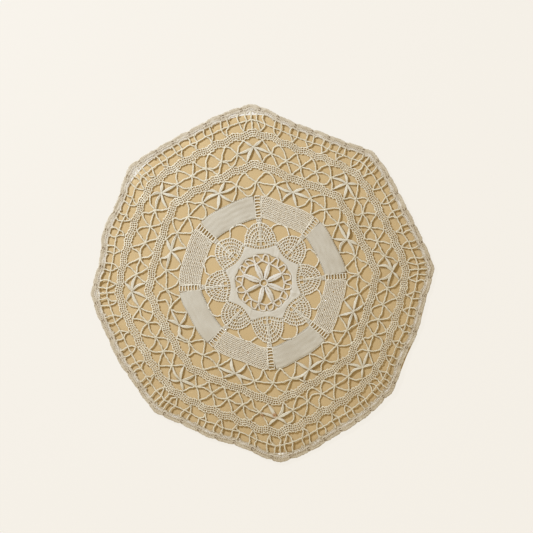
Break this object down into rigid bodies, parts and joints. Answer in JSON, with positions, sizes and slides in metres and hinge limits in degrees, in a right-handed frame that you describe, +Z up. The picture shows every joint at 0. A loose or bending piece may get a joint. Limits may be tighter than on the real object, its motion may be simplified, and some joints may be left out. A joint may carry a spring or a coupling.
{
  "type": "lace tablecloth",
  "caption": "Small octagonal bobbin-lace tablecloth in natural linen, laid flat over a plain tan under-cloth.",
  "frame": {"origin": "centre of the middle flower, on the underside that rests on the table", "axes": "+Z up from the table, +Y towards the top corner of the octagon, +X to the right of it seen from above"},
  "size_m": [0.4468, 0.466, 0.0032],
  "materials": {
    "linen_plait": "matt plaited linen thread",
    "linen_cloth": "matt woven linen thread",
    "linen_braid": "matt open mesh of linen thread",
    "tan_cotton": "matt plain-weave cotton"
  },
  "bodies": {
    "root": {"under_cloth": "tan_cotton", "centre_flower": "linen_plait", "loop_ring": "linen_plait", "star_band": "linen_cloth", "fan_1": "linen_braid", "fan_2": "linen_braid", "fan_3": "linen_braid", "fan_4": "linen_braid", "fan_5": "linen_braid", "fan_6": "linen_braid", "fan_7": "linen_braid", "fan_8": "linen_braid", "open_panel_1": "linen_cloth", "open_panel_2": "linen_cloth", "open_panel_3": "linen_cloth", "open_panel_4": "linen_cloth", "cloth_panel_1": "linen_cloth", "cloth_panel_2": "linen_cloth", "cloth_panel_3": "linen_cloth", "cloth_panel_4": "linen_cloth", "inner_net_1": "linen_plait", "inner_net_2": "linen_plait", "inner_net_3": "linen_plait", "inner_net_4": "linen_plait", "inner_net_5": "linen_plait", "inner_net_6": "linen_plait", "inner_net_7": "linen_plait", "inner_net_8": "linen_plait", "side_flower_1": "linen_plait", "side_flower_2": "linen_plait", "side_flower_3": "linen_plait", "side_flower_4": "linen_plait", "side_flower_5": "linen_plait", "side_flower_6": "linen_plait", "side_flower_7": "linen_plait", "side_flower_8": "linen_plait", "inner_trail": "linen_braid", "outer_net_1": "linen_plait", "outer_net_2": "linen_plait", "outer_net_3": "linen_plait", "outer_net_4": "linen_plait", "outer_net_5": "linen_plait", "outer_net_6": "linen_plait", "outer_net_7": "linen_plait", "outer_net_8": "linen_plait", "corner_flower_1": "linen_plait", "corner_flower_2": "linen_plait", "corner_flower_3": "linen_plait", "corner_flower_4": "linen_plait", "corner_flower_5": "linen_plait", "corner_flower_6": "linen_plait", "corner_flower_7": "linen_plait", "corner_flower_8": "linen_plait", "outer_trail": "linen_braid", "edge_net": "linen_plait", "edge_tape": "linen_cloth"}
  },
  "joints": []
}
